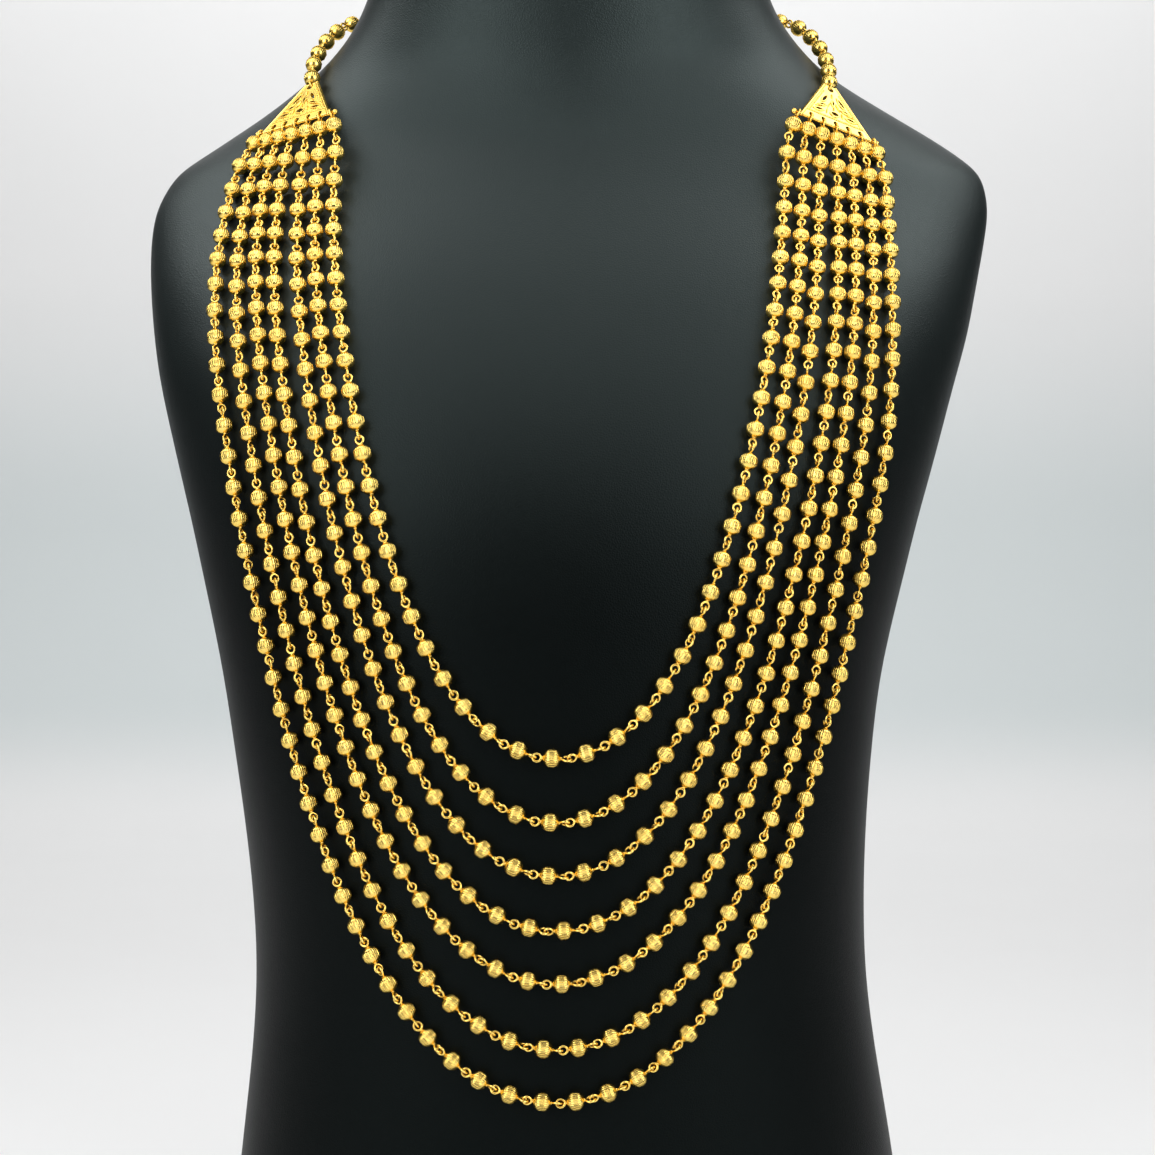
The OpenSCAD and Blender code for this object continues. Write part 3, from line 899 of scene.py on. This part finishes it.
def makePaper():
    s = stageSettings
    material, nodes, links, surface = newMaterial("palePaper")
    where = nodes.new("ShaderNodeTexCoord")
    grain = addNode(nodes, "TexNoise", Scale=s["grainScale"], Detail=2.0)
    links.new(where.outputs["Object"], grain.inputs["Vector"])
    tone = addRange(nodes, (0, 1), (s["grey"] - s["greySpread"], s["grey"] + s["greySpread"]))
    links.new(grain.outputs["Fac"], tone.inputs["Value"])
    split = nodes.new("ShaderNodeSeparateXYZ")
    links.new(where.outputs["Object"], split.inputs["Vector"])
    # painted shade: the paper is darker in a band by height where the floor turns up into the wall
    shade = nodes.new("ShaderNodeValToRGB")
    shade.color_ramp.interpolation = "EASE"
    stops = shade.color_ramp.elements
    lowest, *between, highest = s["shades"]
    stops[0].position, stops[0].color = lowest
    stops[1].position, stops[1].color = highest
    for height, colour in between:
        stops.new(height).color = colour
    links.new(split.outputs["Z"], shade.inputs["Fac"])
    paper = addNode(nodes, "VectorMath", "SCALE")
    links.new(shade.outputs["Color"], paper.inputs[0])
    links.new(tone.outputs["Result"], paper.inputs["Scale"])
    links.new(paper.outputs["Vector"], surface.inputs["Base Color"])
    surface.inputs["Roughness"].default_value = s["rough"]
    return material


def makeStage():
    s = stageSettings
    bpy.ops.object.select_all(action="DESELECT")
    bpy.ops.mesh.primitive_plane_add(size=1, location=(0, 0, 0))
    stage = bpy.context.object
    stage.name = "paleBackdrop"
    stage.scale = (s["width"], s["back"] - s["front"], 1)
    stage.location = (0, (s["back"] + s["front"]) / 2, 0)
    applyPlace(stage)
    farEdge = s["back"] - s["edgeWithin"]
    selectVertices(stage, lambda co: co.y > farEdge)
    bpy.ops.mesh.extrude_region_move(TRANSFORM_OT_translate={"value": (0, 0, s["rise"])})
    bpy.ops.object.mode_set(mode="OBJECT")
    selectVertices(stage, lambda co: co.y > farEdge and co.z < s["edgeWithin"])
    bpy.ops.mesh.bevel(offset=s["curve"], segments=s["curveSteps"], affect="EDGES")
    bpy.ops.object.mode_set(mode="OBJECT")
    smooth(stage)
    stage.data.materials.append(makePaper())


makeStage()

# Place, aim, width, depth and power of each lamp
lampSettings = {
    "softLeft": ((-0.75, 0.0, 1.15), (0, 0, 0.36), 0.7, 0.6, 3.4),
    "softRight": ((0.75, 0.0, 1.15), (0, 0, 0.36), 0.7, 0.6, 3.4),
    "nearLeft": ((-0.45, 0.0, 0.74), (0, 0, 0.34), 0.4, 0.4, 0.95),
    "nearRight": ((0.45, 0.0, 0.74), (0, 0, 0.34), 0.4, 0.4, 0.95),
    "fillLeft": ((-0.6, -0.75, 0.5), (0, 0, 0.25), 0.5, 0.7, 5),
    "fillRight": ((0.6, -0.75, 0.5), (0, 0, 0.25), 0.5, 0.7, 4.9),
    "softFront": ((0, -1.0, 1.35), (0, 0, 0.2), 1.6, 0.5, 5.5),
    "softTop": ((0, -0.05, 1.5), (0, 0, 0.3), 1.2, 0.7, 4.5),
    "wallWash": ((0, 1.35, 1.6), (0, 2.0, 0.45), 2.2, 0.5, 17),
}

for name, (place, aim, width, depth, power) in lampSettings.items():
    lampData = bpy.data.lights.new(name, "AREA")
    lampData.shape = "RECTANGLE"
    lampData.size = width
    lampData.size_y = depth
    lampData.energy = power
    lamp = bpy.data.objects.new(name, lampData)
    bpy.context.collection.objects.link(lamp)
    lamp.location = place
    lamp.rotation_mode = "QUATERNION"
    lamp.rotation_quaternion = (Vector(aim) - Vector(place)).to_track_quat("-Z", "Y")

roomSettings = {"colour": (0.86, 0.9, 0.95, 1), "strength": 0.03}

world = bpy.data.worlds.new("softRoom")
world.use_nodes = True
background = world.node_tree.nodes["Background"]
background.inputs["Color"].default_value = roomSettings["colour"]
background.inputs["Strength"].default_value = roomSettings["strength"]
bpy.context.scene.world = world
bpy.context.scene.view_settings.view_transform = "Standard"
print("stage and lamps set")
